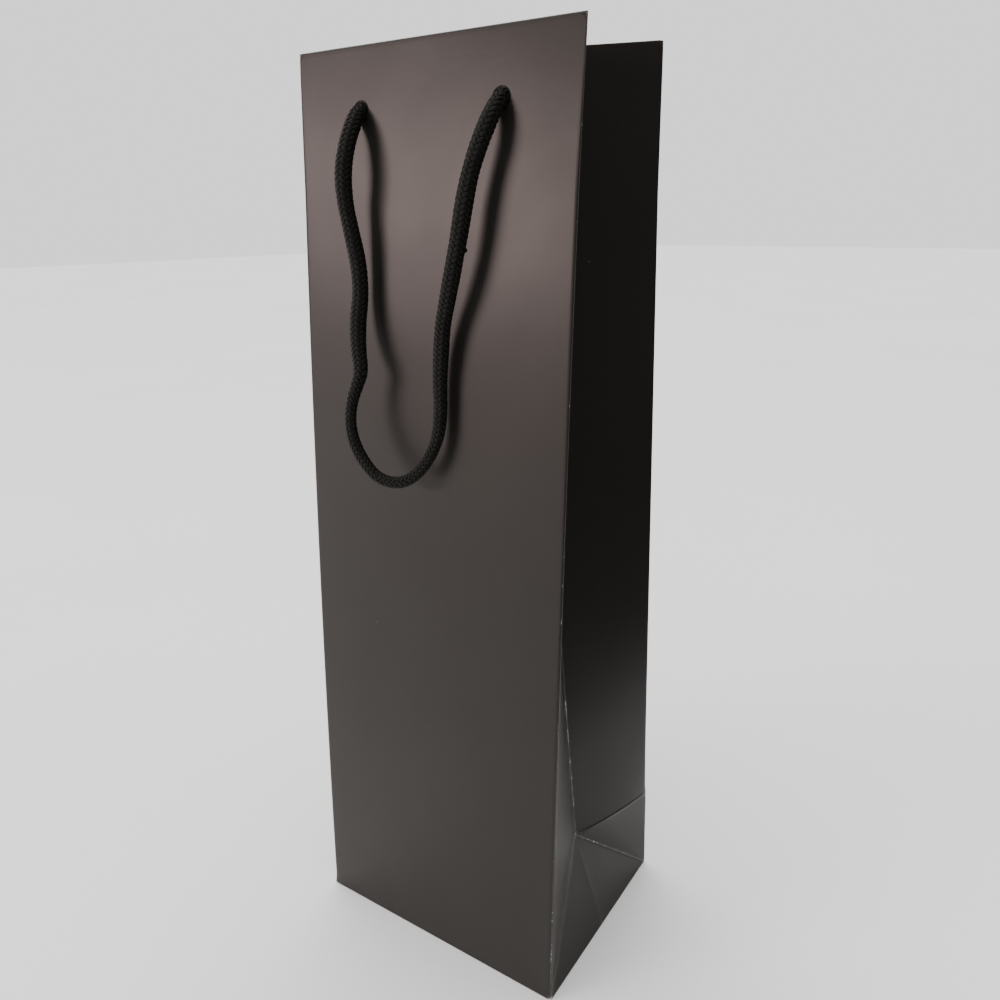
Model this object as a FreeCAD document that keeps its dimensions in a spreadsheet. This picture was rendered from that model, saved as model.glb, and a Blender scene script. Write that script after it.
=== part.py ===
import FreeCAD, Part
import Sketcher
import math
import os

V = FreeCAD.Vector

# Gusseted paper bottle bag with two rope handles.  Millimetres, +Z up.
# Origin at the centre of the base; X across the front panel, Y from the
# front panel (negative) to the back panel (positive).
doc = FreeCAD.newDocument("bottle_bag")
sheet = doc.addObject("Spreadsheet::Sheet", "Sheet")
cells = [
    ("bag_width", 120.0), ("base_depth", 90.0), ("panel_length", 360.0),
    ("front_setback", 21.0), ("front_bow", 2.1),
    ("fold_level", 42.0), ("fold_y", 43.0), ("back_top_y", 30.5),
    ("paper", 0.3), ("card", 0.8), ("board", 1.0),
    ("pinch_x", 45.1), ("pinch_level", 42.46), ("centre_drop", 2.6),
    ("hem_depth", 38.0), ("card_height", 34.0), ("card_width", 115.0), ("hem_width", 113.6),
    ("hole_level", 338.0), ("hole_spacing", 60.0), ("hole_radius", 3.0),
    ("cord_radius", 2.75), ("cord_gap", 0.3), ("knot_radius", 7.0), ("tail_length", 17.0),
    ("flap_depth", 57.0), ("flap_width", 118.6), ("side_flap_width", 88.4), ("side_flap_reach", 57.0),
    ("board_width", 117.0), ("board_depth", 86.0), ("board_corner", 2.0),
    ("lap_width", 16.0),
]
for i, (name, value) in enumerate(cells):
    sheet.set("A%d" % (i + 1), name)
    sheet.set("B%d" % (i + 1), str(value))
    sheet.setAlias("B%d" % (i + 1), name)
doc.recompute()


def val(name):
    return float(sheet.get(name))


PAPER = val("paper")
HALF_W = val("bag_width") / 2.0
HALF_D = val("base_depth") / 2.0
FRONT_TOP_Z = math.sqrt(val("panel_length") ** 2 - val("front_setback") ** 2)
BACK_TOP_Z = val("fold_level") + math.sqrt(
    (val("panel_length") - val("fold_level")) ** 2 - (val("fold_y") - val("back_top_y")) ** 2)

# The front panel bows outward a little: its profile is an arc through the
# bottom edge, the middle and the top edge.
chord = math.hypot(val("front_setback"), FRONT_TOP_Z)
sag = val("front_bow")
ARC_R = chord * chord / (8.0 * sag) + sag / 2.0
chord_dir = V(0, val("front_setback"), FRONT_TOP_Z).normalize()
inward = V(0, chord_dir.z, -chord_dir.y)
arc_centre = V(0, -HALF_D, 0) + chord_dir * (chord / 2.0) + inward * (ARC_R - sag)


def front_y(z, depth=0.0):
    """y of the front panel at height z, depth inside its outer face."""
    r = ARC_R - depth
    return arc_centre.y - math.sqrt(r * r - (z - arc_centre.z) ** 2)


def front_normal(z):
    return (V(0, front_y(z), z) - arc_centre).normalize()


back_tilt = math.atan2(val("fold_y") - val("back_top_y"), BACK_TOP_Z - val("fold_level"))
back_normal = V(0, math.cos(back_tilt), math.sin(back_tilt))
foot_tilt = math.atan2(HALF_D - val("fold_y"), val("fold_level"))
foot_normal = V(0, math.cos(foot_tilt), math.sin(foot_tilt))


def back_y(z, depth=0.0):
    """y of the back panel above the fold, depth inside its outer face."""
    return val("fold_y") - (z - val("fold_level")) * math.tan(back_tilt) - depth / math.cos(back_tilt)


def foot_y(z, depth=0.0):
    return HALF_D - z * math.tan(foot_tilt) - depth / math.cos(foot_tilt)


def origin_plane(body, role):
    return [f for f in body.Origin.OriginFeatures if f.Role == role][0]


def new_sketch(body, name, role):
    sk = body.newObject("Sketcher::SketchObject", name)
    sk.AttachmentSupport = [(origin_plane(body, role), "")]
    sk.MapMode = "FlatFace"
    return sk


def hole_pocket(body, name):
    """Two cord holes cut through a panel from front to back."""
    sk = new_sketch(body, name + "_sketch", "XZ_Plane")
    for k, sx in enumerate((-1, 1)):
        sk.addGeometry(Part.Circle(V(sx * val("hole_spacing") / 2, val("hole_level"), 0), V(0, 0, 1), val("hole_radius")), False)
        for kind, args, value, expr in (
                ("Radius", (k,), val("hole_radius"), "Sheet.hole_radius"),
                ("DistanceX", (-1, 1, k, 3), sx * val("hole_spacing") / 2, "%sSheet.hole_spacing / 2" % ("-" if sx < 0 else "")),
                ("DistanceY", (-1, 1, k, 3), val("hole_level"), "Sheet.hole_level")):
            c = sk.addConstraint(Sketcher.Constraint(kind, *(args + (value,))))
            sk.setExpression("Constraints[%d]" % c, expr)
    doc.recompute()
    pocket = body.newObject("PartDesign::Pocket", name)
    pocket.Profile = sk
    pocket.Type = "ThroughAll"
    pocket.Midplane = True
    doc.recompute()
    return pocket


def polygon(sk, points):
    """Closed polygon; points are (x, y, x expression, y expression)."""
    n = len(points)
    first = sk.GeometryCount
    for i in range(n):
        a, b = points[i], points[(i + 1) % n]
        sk.addGeometry(Part.LineSegment(V(a[0], a[1], 0), V(b[0], b[1], 0)), False)
    for i in range(n):
        sk.addConstraint(Sketcher.Constraint("Coincident", first + i, 2, first + (i + 1) % n, 1))
    for i, p in enumerate(points):
        for kind, value, expr in (("DistanceX", p[0], p[2]), ("DistanceY", p[1], p[3])):
            c = sk.addConstraint(Sketcher.Constraint(kind, -1, 1, first + i, 1, value))
            if expr:
                sk.setExpression("Constraints[%d]" % c, expr)


# ---------------------------------------------------------------- front panel
body = doc.addObject("PartDesign::Body", "FrontPanel")
body.Label = "front_panel"
sk = new_sketch(body, "front_profile", "YZ_Plane")
b0 = V(-HALF_D, 0, 0)
b1 = V(-HALF_D + val("front_setback"), FRONT_TOP_Z, 0)
a0 = V(front_y(0, PAPER), 0, 0)
a1 = V(front_y(FRONT_TOP_Z, PAPER), FRONT_TOP_Z, 0)
def arc_of(radius, low, high):
    """Arc about the panel's centre of curvature, from its high to its low end."""
    c = V(arc_centre.y, arc_centre.z, 0)
    t_high = math.atan2(high.y - c.y, high.x - c.x) % (2 * math.pi)
    t_low = math.atan2(low.y - c.y, low.x - c.x) % (2 * math.pi)
    return Part.ArcOfCircle(Part.Circle(c, V(0, 0, 1), radius), t_high, t_low)


sk.addGeometry(arc_of(ARC_R, b0, b1), False)
sk.addGeometry(arc_of(ARC_R - PAPER, a0, a1), False)
sk.addGeometry(Part.LineSegment(b0, a0), False)
sk.addGeometry(Part.LineSegment(b1, a1), False)


def arc_end(sketch, geo, point):
    return 1 if (sketch.Geometry[geo].StartPoint - point).Length < (sketch.Geometry[geo].EndPoint - point).Length else 2


sk.addConstraint(Sketcher.Constraint("Coincident", 2, 1, 0, arc_end(sk, 0, b0)))
sk.addConstraint(Sketcher.Constraint("Coincident", 2, 2, 1, arc_end(sk, 1, a0)))
sk.addConstraint(Sketcher.Constraint("Coincident", 3, 1, 0, arc_end(sk, 0, b1)))
sk.addConstraint(Sketcher.Constraint("Coincident", 3, 2, 1, arc_end(sk, 1, a1)))
sk.addConstraint(Sketcher.Constraint("Coincident", 0, 3, 1, 3))
sk.addConstraint(Sketcher.Constraint("Horizontal", 2))
sk.addConstraint(Sketcher.Constraint("Horizontal", 3))
for kind, args, value, expr in (
        ("DistanceX", (-1, 1, 2, 1), -HALF_D, "-Sheet.base_depth / 2"),
        ("DistanceY", (-1, 1, 2, 1), 0.0, None),
        ("DistanceX", (-1, 1, 3, 1), b1.x, "-Sheet.base_depth / 2 + Sheet.front_setback"),
        ("DistanceY", (-1, 1, 3, 1), b1.y, "sqrt(Sheet.panel_length ^ 2 - Sheet.front_setback ^ 2)"),
        ("Radius", (0,), ARC_R, "Sheet.panel_length ^ 2 / (8 * Sheet.front_bow) + Sheet.front_bow / 2"),
        ("Radius", (1,), ARC_R - PAPER, "Sheet.panel_length ^ 2 / (8 * Sheet.front_bow) + Sheet.front_bow / 2 - Sheet.paper")):
    c = sk.addConstraint(Sketcher.Constraint(kind, *(args + (value,))))
    if expr:
        sk.setExpression("Constraints[%d]" % c, expr)
doc.recompute()
pad = body.newObject("PartDesign::Pad", "front_sheet")
pad.Profile = sk
pad.Midplane = True
pad.setExpression("Length", "Sheet.bag_width")
doc.recompute()
solid_before = body.Shape.Volume
hole_pocket(body, "front_cord_holes")
FRONT_CUT = solid_before - body.Shape.Volume
parts = [body]

# ----------------------------------------------------------------- back panel
body = doc.addObject("PartDesign::Body", "BackPanel")
body.Label = "back_panel"
sk = new_sketch(body, "back_profile", "YZ_Plane")
tt = PAPER / math.cos(back_tilt)
polygon(sk, [
    (val("fold_y"), val("fold_level"), "Sheet.fold_y", "Sheet.fold_level"),
    (val("back_top_y"), BACK_TOP_Z, "Sheet.back_top_y",
     "Sheet.fold_level + sqrt((Sheet.panel_length - Sheet.fold_level) ^ 2 - (Sheet.fold_y - Sheet.back_top_y) ^ 2)"),
    (val("back_top_y") - tt, BACK_TOP_Z, None, None),
    (val("fold_y") - tt, val("fold_level"), None, "Sheet.fold_level"),
])
pad = body.newObject("PartDesign::Pad", "back_sheet")
pad.Profile = sk
pad.Midplane = True
pad.setExpression("Length", "Sheet.bag_width")
doc.recompute()
solid_before = body.Shape.Volume
hole_pocket(body, "back_cord_holes")
BACK_CUT = solid_before - body.Shape.Volume
parts.append(body)

# Strip of the back panel below the base fold.
body = doc.addObject("PartDesign::Body", "BackFoot")
body.Label = "back_foot"
sk = new_sketch(body, "foot_profile", "YZ_Plane")
ft = PAPER / math.cos(foot_tilt)
polygon(sk, [
    (HALF_D, 0.0, "Sheet.base_depth / 2", None),
    (val("fold_y"), val("fold_level"), "Sheet.fold_y", "Sheet.fold_level"),
    (val("fold_y") - ft, val("fold_level"), None, "Sheet.fold_level"),
    (HALF_D - ft, 0.0, None, None),
])
pad = body.newObject("PartDesign::Pad", "foot_sheet")
pad.Profile = sk
pad.Midplane = True
pad.setExpression("Length", "Sheet.bag_width")
doc.recompute()
parts.append(body)


# ------------------------------------------------------- creased side gussets
def least_squares(rows):
    """Point v that best meets n.v = -d for every (n, d, weight)."""
    m = [[1e-9 if i == j else 0.0 for j in range(3)] for i in range(3)]
    r = [0.0, 0.0, 0.0]
    for n, d, w in rows:
        c = (n.x, n.y, n.z)
        for i in range(3):
            for j in range(3):
                m[i][j] += w * c[i] * c[j]
            r[i] -= w * c[i] * d
    mat = FreeCAD.Matrix(m[0][0], m[0][1], m[0][2], 0, m[1][0], m[1][1], m[1][2], 0,
                         m[2][0], m[2][1], m[2][2], 0, 0, 0, 0, 1)
    return mat.inverse().multVec(V(*r))


CENTRE = V(0, 0, 180)


def outward(a, b, c):
    n = (b - a).cross(c - a).normalize()
    return n


LEVELS = [90.0, 150.0, 210.0, 266.0, FRONT_TOP_Z - val("hem_depth"), FRONT_TOP_Z]
P = V(val("pinch_x"), 0, val("pinch_level"))
E = V(HALF_W, front_y(0, PAPER), 0)
F = V(HALF_W, foot_y(0, PAPER), 0)
G = V(HALF_W, foot_y(val("fold_level"), PAPER), val("fold_level"))
front_edge, back_edge, crease = [], [], []
for z in LEVELS:
    frac = (z - P.z) / (FRONT_TOP_Z - P.z)
    zb = val("fold_level") + (z - val("fold_level")) * (BACK_TOP_Z - val("fold_level")) / (FRONT_TOP_Z - val("fold_level"))
    fy, by = front_y(z), back_y(zb)
    pinch = math.sqrt(HALF_D ** 2 - ((by - fy) / 2.0) ** 2)
    front_edge.append(V(HALF_W, front_y(z, PAPER), z))
    back_edge.append(V(HALF_W, back_y(zb, PAPER), zb))
    crease.append(V(HALF_W - pinch, (fy + by) / 2.0, z - val("centre_drop") * frac))

# Each facet is a list of triangles over shared points.
pts = {"P": P, "E": E, "F": F, "G": G}
for k in range(len(LEVELS)):
    pts["a%d" % k] = front_edge[k]
    pts["b%d" % k] = back_edge[k]
    pts["c%d" % k] = crease[k]
front_half = [("E", "a0", "P"), ("a0", "c0", "P")]
back_half = [("P", "c0", "G"), ("c0", "b0", "G")]
for k in range(len(LEVELS) - 1):
    front_half += [("a%d" % k, "a%d" % (k + 1), "c%d" % k), ("a%d" % (k + 1), "c%d" % (k + 1), "c%d" % k)]
    back_half += [("c%d" % k, "c%d" % (k + 1), "b%d" % k), ("c%d" % (k + 1), "b%d" % (k + 1), "b%d" % k)]
facets = {
    "gusset_front": front_half,
    "gusset_back": back_half,
    "corner_fold": [("P", "G", "F")],
    "base_gusset": [("E", "P", "F")],
}


def facet_normal(t):
    a, b, c = (pts[k] for k in t)
    n = (b - a).cross(c - a).normalize()
    return n if n.x > 0 else n * -1.0


# Inner points: moved in by the paper's thickness from every facet that meets
# there, and along the inner face of the front or back panel at its edges.
step = {}
for key in pts:
    rows = []
    for tris in facets.values():
        for t in tris:
            if key in t:
                rows.append((facet_normal(t), PAPER, 1.0))
    if key[0] == "a" or key == "E":
        rows.append((front_normal(pts[key].z), 0.0, 1e3))
    if key[0] == "b":
        rows.append((back_normal, 0.0, 1e3))
    if key == "G":
        rows += [(back_normal, 0.0, 1e2), (foot_normal, 0.0, 1e2)]
    if key == "F":
        rows.append((foot_normal, 0.0, 1e3))
    if key in ("E", "F"):
        rows.append((V(0, 0, 1), 0.0, 1e6))
    top = "%d" % (len(LEVELS) - 1)
    if key[0] in "abc" and key[1:] == top:
        rows.append((V(0, 0, 1), 0.0, 1e3))
    # keep the step square to the crease that runs up through the point
    if key[0] in "abc" and key[1:] != top:
        rows.append(((pts[key[0] + str(int(key[1:]) + 1)] - pts[key]).normalize(), 0.0, 0.5))
    step[key] = least_squares(rows)


def facet_solid(tris, side, start=0.0, stop=1.0):
    """Closed thin solid over triangles, between two depths of paper."""
    def point(key, f):
        q = pts[key] + step[key] * f
        return V(side * q.x, q.y, q.z)
    faces = []

    def tri(p, q, r):
        faces.append(Part.Face(Part.makePolygon([p, q, r, p])))
    edges = {}
    for t in tris:
        tri(*[point(k, start) for k in t])
        tri(*[point(k, stop) for k in reversed(t)])
        for i in range(3):
            e = (t[i], t[(i + 1) % 3])
            if (e[1], e[0]) in edges:
                del edges[(e[1], e[0])]
            elif e in edges:
                raise ValueError("facet triangles are not wound alike")
            else:
                edges[e] = True
    for i, j in edges:
        tri(point(j, start), point(i, start), point(j, stop))
        tri(point(i, start), point(i, stop), point(j, stop))
    shell = Part.makeShell(faces)
    solid = Part.makeSolid(shell)
    if solid.Volume < 0:
        solid.reverse()
    return solid


def feature(name, shape):
    obj = doc.addObject("Part::Feature", name)
    obj.Label = name
    obj.Shape = shape
    obj.Placement = FreeCAD.Placement()
    parts.append(obj)
    return obj


for side, word in ((1, "right"), (-1, "left")):
    for name, tris in facets.items():
        feature("%s_%s" % (word, name), facet_solid(tris, side))
    # the turned-in hem lies on the inside of each gusset half
    feature(word + "_hem_front", facet_solid(front_half[-2:], side, 1.0, 2.0))
    feature(word + "_hem_back", facet_solid(back_half[-2:], side, 1.0, 2.0))


# -------------------------------------------------- hems and cards at the top
def top_plate(label, is_front, width, height, thick, depth, z_top):
    """Flat strip inside a panel, its outer face depth inside the panel's outer face."""
    box = doc.addObject("Part::Box", label + "_plate")
    box.setExpression("Length", "Sheet." + width)
    box.setExpression("Width", "Sheet." + thick)
    box.setExpression("Height", "Sheet." + height)
    hgt, wid, thk = val(height), val(width), val(thick)
    if is_front:
        lo = V(0, front_y(z_top - hgt, depth), z_top - hgt)
        hi = V(0, front_y(z_top, depth), z_top)
        up = (hi - lo).normalize()
        rot = FreeCAD.Rotation(V(1, 0, 0), -math.degrees(math.atan2(up.y, up.z)))
        box.Placement = FreeCAD.Placement(V(-wid / 2.0, lo.y, lo.z), rot)
    else:
        rot = FreeCAD.Rotation(V(1, 0, 0), math.degrees(back_tilt))
        lo_z = z_top - hgt
        base = V(-wid / 2.0, back_y(lo_z, depth), lo_z) - rot.multVec(V(0, thk, 0))
        box.Placement = FreeCAD.Placement(base, rot)
    cuts = []
    for sx in (-1, 1):
        cyl = doc.addObject("Part::Cylinder", "%s_hole_%s" % (label, "l" if sx < 0 else "r"))
        cyl.setExpression("Radius", "Sheet.hole_radius")
        cyl.Height = 30.0
        y0 = (front_y(val("hole_level")) if is_front else back_y(val("hole_level"))) - 15.0
        cyl.Placement = FreeCAD.Placement(V(sx * val("hole_spacing") / 2, y0, val("hole_level")),
                                          FreeCAD.Rotation(V(1, 0, 0), -90))
        cuts.append(cyl)
    fuse = doc.addObject("Part::MultiFuse", label + "_holes")
    fuse.Shapes = cuts
    cut = doc.addObject("Part::Cut", label)
    cut.Base = box
    cut.Tool = fuse
    cut.Label = label
    doc.recompute()
    parts.append(cut)
    return cut


CARD = val("card")
top_plate("front_card", True, "card_width", "card_height", "card", PAPER, FRONT_TOP_Z - 0.4)
top_plate("back_card", False, "card_width", "card_height", "card", PAPER, BACK_TOP_Z - 0.4)
top_plate("front_hem", True, "hem_width", "hem_depth", "paper", PAPER + CARD, FRONT_TOP_Z - 0.2)
top_plate("back_hem", False, "hem_width", "hem_depth", "paper", PAPER + CARD, BACK_TOP_Z - 0.2)

# ------------------------------------------------------------------ glue lap
lap_bottom, lap_top = val("fold_level") + 2.0, BACK_TOP_Z - val("hem_depth") - 2.0
box = doc.addObject("Part::Box", "glue_lap")
box.Label = "glue_lap"
box.setExpression("Length", "Sheet.lap_width")
box.setExpression("Width", "Sheet.paper")
box.Height = (lap_top - lap_bottom) / math.cos(back_tilt)
rot = FreeCAD.Rotation(V(1, 0, 0), math.degrees(back_tilt))
box.Placement = FreeCAD.Placement(V(-HALF_W + 1.2, back_y(lap_bottom, PAPER), lap_bottom) - rot.multVec(V(0, PAPER, 0)), rot)
parts.append(box)


# ----------------------------------------------------------------- base flaps
def base_plate(label, points, level, thick, fillet=None):
    body = doc.addObject("PartDesign::Body", label + "_body")
    body.Label = label
    sk = new_sketch(body, label + "_outline", "XY_Plane")
    polygon(sk, points)
    pad = body.newObject("PartDesign::Pad", label + "_pad")
    pad.Profile = sk
    pad.setExpression("Length", "Sheet." + thick)
    doc.recompute()
    if fillet:
        uprights = []
        for i, e in enumerate(pad.Shape.Edges):
            d = e.Vertexes[-1].Point - e.Vertexes[0].Point
            if abs(d.x) + abs(d.y) < 1e-6:
                uprights.append("Edge%d" % (i + 1))
        fil = body.newObject("PartDesign::Fillet", label + "_round")
        fil.Base = (pad, uprights)
        fil.setExpression("Radius", "Sheet." + fillet)
        doc.recompute()
    body.Placement = FreeCAD.Placement(V(0, 0, level), FreeCAD.Rotation())
    doc.recompute()
    parts.append(body)
    return body


hw = val("flap_width") / 2.0
fd = val("flap_depth")
y0 = front_y(0, PAPER) + 0.02
base_plate("front_base_flap", [
    (-hw, y0, "-Sheet.flap_width / 2", None), (hw, y0, "Sheet.flap_width / 2", None),
    (hw - fd, y0 + fd, "Sheet.flap_width / 2 - Sheet.flap_depth", None),
    (-hw + fd, y0 + fd, "-Sheet.flap_width / 2 + Sheet.flap_depth", None)], 0.0, "paper")
y1 = foot_y(0.6, PAPER) - 0.02
base_plate("back_base_flap", [
    (hw, y1, "Sheet.flap_width / 2", None), (-hw, y1, "-Sheet.flap_width / 2", None),
    (-hw + fd, y1 - fd, "-Sheet.flap_width / 2 + Sheet.flap_depth", None),
    (hw - fd, y1 - fd, "Sheet.flap_width / 2 - Sheet.flap_depth", None)], PAPER, "paper")
sw = val("side_flap_width") / 2.0
for side, word in ((1, "right"), (-1, "left")):
    x0 = side * 59.2
    x1 = side * (59.2 - 0.99 * val("side_flap_reach"))
    ring = [(x0, -sw, None, "-Sheet.side_flap_width / 2"), (x0, sw, None, "Sheet.side_flap_width / 2"),
            (x1, sw, None, "Sheet.side_flap_width / 2"), (x1, -sw, None, "-Sheet.side_flap_width / 2")]
    base_plate(word + "_base_flap", ring if side < 0 else ring[::-1], 2 * PAPER, "paper")
bw, bd = val("board_width") / 2.0, val("board_depth") / 2.0
base_plate("base_board", [
    (-bw, -bd, "-Sheet.board_width / 2", "-Sheet.board_depth / 2"), (bw, -bd, "Sheet.board_width / 2", "-Sheet.board_depth / 2"),
    (bw, bd, "Sheet.board_width / 2", "Sheet.board_depth / 2"), (-bw, bd, "-Sheet.board_width / 2", "Sheet.board_depth / 2")],
    3 * PAPER, "board", "board_corner")


# -------------------------------------------------------------- rope handles
RC = val("cord_radius")
GAP = RC + val("cord_gap")
HZ = val("hole_level")
HX = val("hole_spacing") / 2.0
FRONT_FACE = front_y(HZ)
BACK_FACE = back_y(HZ)


def tube(points, label):
    """Round tube along straight runs joined by tangent arcs, round ended."""
    pts3 = [V(*p) for p in points]
    n = len(pts3)
    runs = [(pts3[i + 1] - pts3[i]).Length for i in range(n - 1)]
    edges, cursor, radii = [], pts3[0], []
    length = 0.0
    for i in range(1, n - 1):
        d0 = (pts3[i] - pts3[i - 1]).normalize()
        d1 = (pts3[i + 1] - pts3[i]).normalize()
        turn = d0.getAngle(d1)
        cut = 0.45 * min(runs[i - 1], runs[i])
        radius = cut / math.tan(turn / 2.0)
        radii.append(radius)
        s, e = pts3[i] - d0 * cut, pts3[i] + d1 * cut
        bis = (d1 - d0).normalize()
        centre = pts3[i] + bis * (radius / math.cos(turn / 2.0))
        middle = centre - bis * radius
        edges.append(Part.LineSegment(cursor, s).toShape())
        edges.append(Part.Arc(s, middle, e).toShape())
        cursor = e
    edges.append(Part.LineSegment(cursor, pts3[-1]).toShape())
    wire = Part.Wire(edges)
    start_dir = (pts3[1] - pts3[0]).normalize()
    ring = Part.Wire([Part.Circle(pts3[0], start_dir, RC).toShape()])
    solid = wire.makePipeShell([ring], True, True, 2)
    ideal = math.pi * RC * RC * wire.Length
    print("%s: length %.1f, tube volume / ideal %.4f, least radius %.1f, radii %s" % (
        label, wire.Length, solid.Volume / ideal, min(radii), [round(r, 1) for r in radii]))
    for end in (pts3[0], pts3[-1]):
        solid = solid.fuse(Part.makeSphere(RC, end))
    return solid.removeSplitter()


# Hanging line of the front handle, from the left hole to the right one.
front_route = [
    (-HX, FRONT_FACE - GAP, HZ),
    (-29.0, -31.7, 332.9), (-29.4, -34.9, 325.8), (-29.9, -37.1, 316.7), (-30.2, -36.5, 306.6),
    (-28.4, -36.0, 296.3), (-26.8, -35.4, 286.2), (-26.4, -35.6, 275.9), (-26.8, -37.9, 265.8),
    (-25.6, -40.1, 255.9), (-23.0, -42.4, 246.2), (-26.0, -45.3, 236.6), (-25.2, -47.3, 226.4),
    (-20.3, -48.0, 217.3), (-12.2, -47.6, 209.9), (-2.7, -44.6, 209.3), (4.7, -41.1, 216.5),
    (8.7, -38.5, 225.9), (9.5, -37.0, 236.0), (9.3, -36.7, 246.3), (10.2, -36.6, 256.5),
    (11.9, -37.2, 266.7), (15.1, -37.8, 276.4), (17.9, -37.9, 286.2), (20.2, -37.2, 296.3),
    (21.8, -36.2, 306.4), (24.1, -35.3, 316.2), (27.5, -34.0, 325.4), (29.5, -31.3, 332.4),
    (HX, FRONT_FACE - GAP, HZ),
]
# Hanging line of the back handle, from the left hole to the right one.
back_route = [
    (-HX, BACK_FACE + GAP, HZ),
    (-30.5, 35.5, 331.7), (-31.1, 38.9, 323.4), (-30.2, 41.3, 311.5), (-27.4, 41.3, 296.0),
    (-25.8, 40.6, 279.0), (-26.2, 40.4, 262.0), (-27.2, 41.6, 246.6), (-26.4, 43.9, 234.4),
    (-22.9, 46.3, 224.0), (-16.6, 48.5, 215.6), (-8.0, 49.7, 210.8), (1.2, 49.6, 209.6),
    (9.8, 48.2, 212.4), (16.8, 45.8, 219.0), (21.0, 43.0, 228.4), (22.4, 40.5, 240.4),
    (21.9, 39.2, 255.4), (22.6, 39.5, 272.5), (25.4, 40.6, 289.5), (28.3, 40.9, 306.0),
    (30.0, 39.9, 317.6), (30.6, 38.3, 325.8), (30.4, 36.1, 332.6),
    (HX, BACK_FACE + GAP, HZ),
]


def bead(label, sx, face_y, inner_y, sign):
    """Knotted rope end: stub through the hole, knot and tail inside the bag."""
    knot = V(sx * HX, inner_y + sign * (val("knot_radius") + 0.05), HZ)
    stub = Part.makeCylinder(RC, abs(knot.y - face_y), V(sx * HX, face_y, HZ), V(0, sign, 0))
    ball = Part.makeSphere(val("knot_radius"), knot)
    tail_dir = V(sx * 0.16, sign * 0.20, -1.0).normalize()
    tail = Part.makeCylinder(RC, val("tail_length"), knot, tail_dir)
    return feature(label, stub.fuse([ball, tail]).removeSplitter())


layers = 2 * PAPER + CARD
f_in = front_y(HZ + val("knot_radius") * 0.08, layers)
b_in = back_y(HZ + val("knot_radius") * 0.04, layers)
bead("front_left_knot", -1, FRONT_FACE, f_in + 0.1, 1)
bead("front_right_knot", 1, FRONT_FACE, f_in + 0.1, 1)
bead("back_left_knot", -1, BACK_FACE, b_in - 0.1, -1)
bead("back_right_knot", 1, BACK_FACE, b_in - 0.1, -1)
feature("front_handle_cord", tube(front_route, "front_handle_cord"))
feature("back_handle_cord", tube(back_route, "back_handle_cord"))

# --------------------------------------------------------------------- checks
doc.recompute()
for obj in doc.Objects:
    if any(s in ("Invalid", "Error") for s in obj.State):
        raise RuntimeError("%s is %s" % (obj.Name, obj.State))
for cut_volume, name in ((FRONT_CUT, "front"), (BACK_CUT, "back")):
    ideal = 2 * math.pi * val("hole_radius") ** 2 * PAPER
    if abs(cut_volume / ideal - 1) > 0.03:
        raise RuntimeError("%s holes cut %.3f, not %.3f" % (name, cut_volume, ideal))
names = [obj.Label for obj in parts]
if len(set(names)) != len(names):
    raise RuntimeError("labels repeat")
for obj in parts:
    shape = obj.Shape
    if shape.isNull() or not shape.isValid() or len(shape.Solids) != 1 or shape.Volume <= 0:
        raise RuntimeError("%s: bad shape, %d solids" % (obj.Label, len(shape.Solids)))

os.makedirs("parts", exist_ok=True)
for obj in parts:
    obj.Shape.exportStep("parts/%s.step" % obj.Label)
    bb = obj.Shape.BoundBox
    print("%-20s vol %9.1f  x %.2f..%.2f  y %.2f..%.2f  z %.2f..%.2f" % (
        obj.Label, obj.Shape.Volume, bb.XMin, bb.XMax, bb.YMin, bb.YMax, bb.ZMin, bb.ZMax))
print(len(parts), "nodes; front top %.2f, back top %.2f, front face at holes %.3f, back face at holes %.3f" % (
    FRONT_TOP_Z, BACK_TOP_Z, FRONT_FACE, BACK_FACE))
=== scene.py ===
import bpy, bmesh, math
from mathutils import Vector, Matrix, noise, geometry


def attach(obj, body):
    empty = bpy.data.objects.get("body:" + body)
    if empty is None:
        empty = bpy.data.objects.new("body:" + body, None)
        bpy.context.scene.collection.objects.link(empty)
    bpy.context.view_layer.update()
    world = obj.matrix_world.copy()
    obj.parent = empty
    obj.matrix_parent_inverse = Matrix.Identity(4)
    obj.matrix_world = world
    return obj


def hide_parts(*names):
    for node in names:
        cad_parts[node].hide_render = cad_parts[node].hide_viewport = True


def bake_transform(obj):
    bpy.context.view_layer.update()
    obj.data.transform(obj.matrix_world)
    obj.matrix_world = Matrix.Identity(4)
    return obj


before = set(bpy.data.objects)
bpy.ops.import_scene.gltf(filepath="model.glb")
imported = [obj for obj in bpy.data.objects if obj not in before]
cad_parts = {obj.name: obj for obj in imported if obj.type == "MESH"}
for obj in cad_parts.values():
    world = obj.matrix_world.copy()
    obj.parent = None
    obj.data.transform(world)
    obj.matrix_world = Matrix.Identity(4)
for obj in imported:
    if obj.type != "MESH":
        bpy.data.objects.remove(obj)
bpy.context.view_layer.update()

MM = 0.001
scene = bpy.context.scene


# ------------------------------------------------------------------- camera
cam_data = bpy.data.cameras.new("camera")
cam = bpy.data.objects.new("camera", cam_data)
scene.collection.objects.link(cam)
right = Vector((0.84674641, 0.53195654, -0.00653808))
up = Vector((-0.15756591, 0.26250732, 0.95197841))
back = Vector((0.50812744, -0.80505413, 0.30609535))
cam.matrix_world = Matrix(((right.x, up.x, back.x, 0.18920), (right.y, up.y, back.y, -0.26186),
                           (right.z, up.z, back.z, 0.30127), (0, 0, 0, 1)))
cam_data.sensor_width = 36.0
cam_data.lens = 29.60
cam_data.shift_x = -0.03135
cam_data.shift_y = -0.01669
cam_data.clip_start = 0.01
scene.camera = cam


def new_object(name, verts, faces, scale=MM):
    me = bpy.data.meshes.new(name)
    me.from_pydata([tuple(c * scale for c in v) for v in verts], [], faces)
    me.update()
    ob = bpy.data.objects.new(name, me)
    scene.collection.objects.link(ob)
    return ob


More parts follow.
